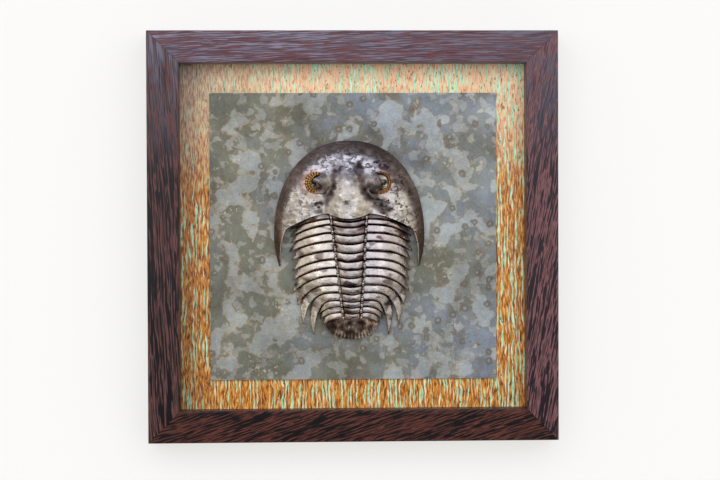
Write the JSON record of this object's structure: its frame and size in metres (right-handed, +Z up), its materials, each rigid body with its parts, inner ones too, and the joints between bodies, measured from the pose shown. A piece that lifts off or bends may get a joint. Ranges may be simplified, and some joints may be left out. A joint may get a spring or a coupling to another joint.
{
  "type": "framed metal trilobite wall sculpture",
  "caption": "Square wooden frame around a streaked board and a galvanised sheet, which carries a raised trilobite of hammered steel plates with brass eye crescents.",
  "frame": {"origin": "middle of the frame's back, in the plane that the wood and the board share", "axes": "X to the viewer's right, Z up, and the front faces -Y; +Y points into the wall"},
  "size_m": [0.4064, 0.0459, 0.4064],
  "materials": {
    "wenge": "satin oiled wenge, nearly black with brown-red streaks",
    "streaked_board": "glossy board with wavy orange, pink, olive and mint streaks along its length",
    "galvanised_steel": "weathered zinc coat with crystal spangles, bluish and olive-brown mottles and pale rings",
    "polished_steel": "hammered and polished steel, darkened towards its edges",
    "dark_steel": "heat-darkened brown-black steel",
    "brass": "knurled copper-coloured brass",
    "zinc_plate": "bright zinc-plated steel",
    "black_rubber": "matte black rubber"
  },
  "bodies": {
    "root": {"rail_top": "wenge", "rail_right": "wenge", "rail_bottom": "wenge", "rail_left": "wenge", "backing_board": "streaked_board", "galvanised_sheet": "galvanised_steel", "head_shield": "polished_steel", "eye_left": "brass", "eye_right": "brass", "neck_ring": "dark_steel", "thorax_plate_01": "polished_steel", "thorax_plate_02": "polished_steel", "thorax_plate_03": "polished_steel", "thorax_plate_04": "polished_steel", "thorax_plate_05": "polished_steel", "thorax_plate_06": "polished_steel", "thorax_plate_07": "polished_steel", "thorax_plate_08": "polished_steel", "thorax_plate_09": "polished_steel", "thorax_plate_10": "polished_steel", "thorax_plate_11": "polished_steel", "thorax_plate_12": "polished_steel", "thorax_plate_13": "polished_steel", "tail_shield": "dark_steel", "post_head": "zinc_plate", "post_tail": "zinc_plate", "hanger": "zinc_plate", "nail_left": "zinc_plate", "nail_right": "zinc_plate", "bumper_left": "black_rubber", "bumper_right": "black_rubber"}
  },
  "joints": []
}
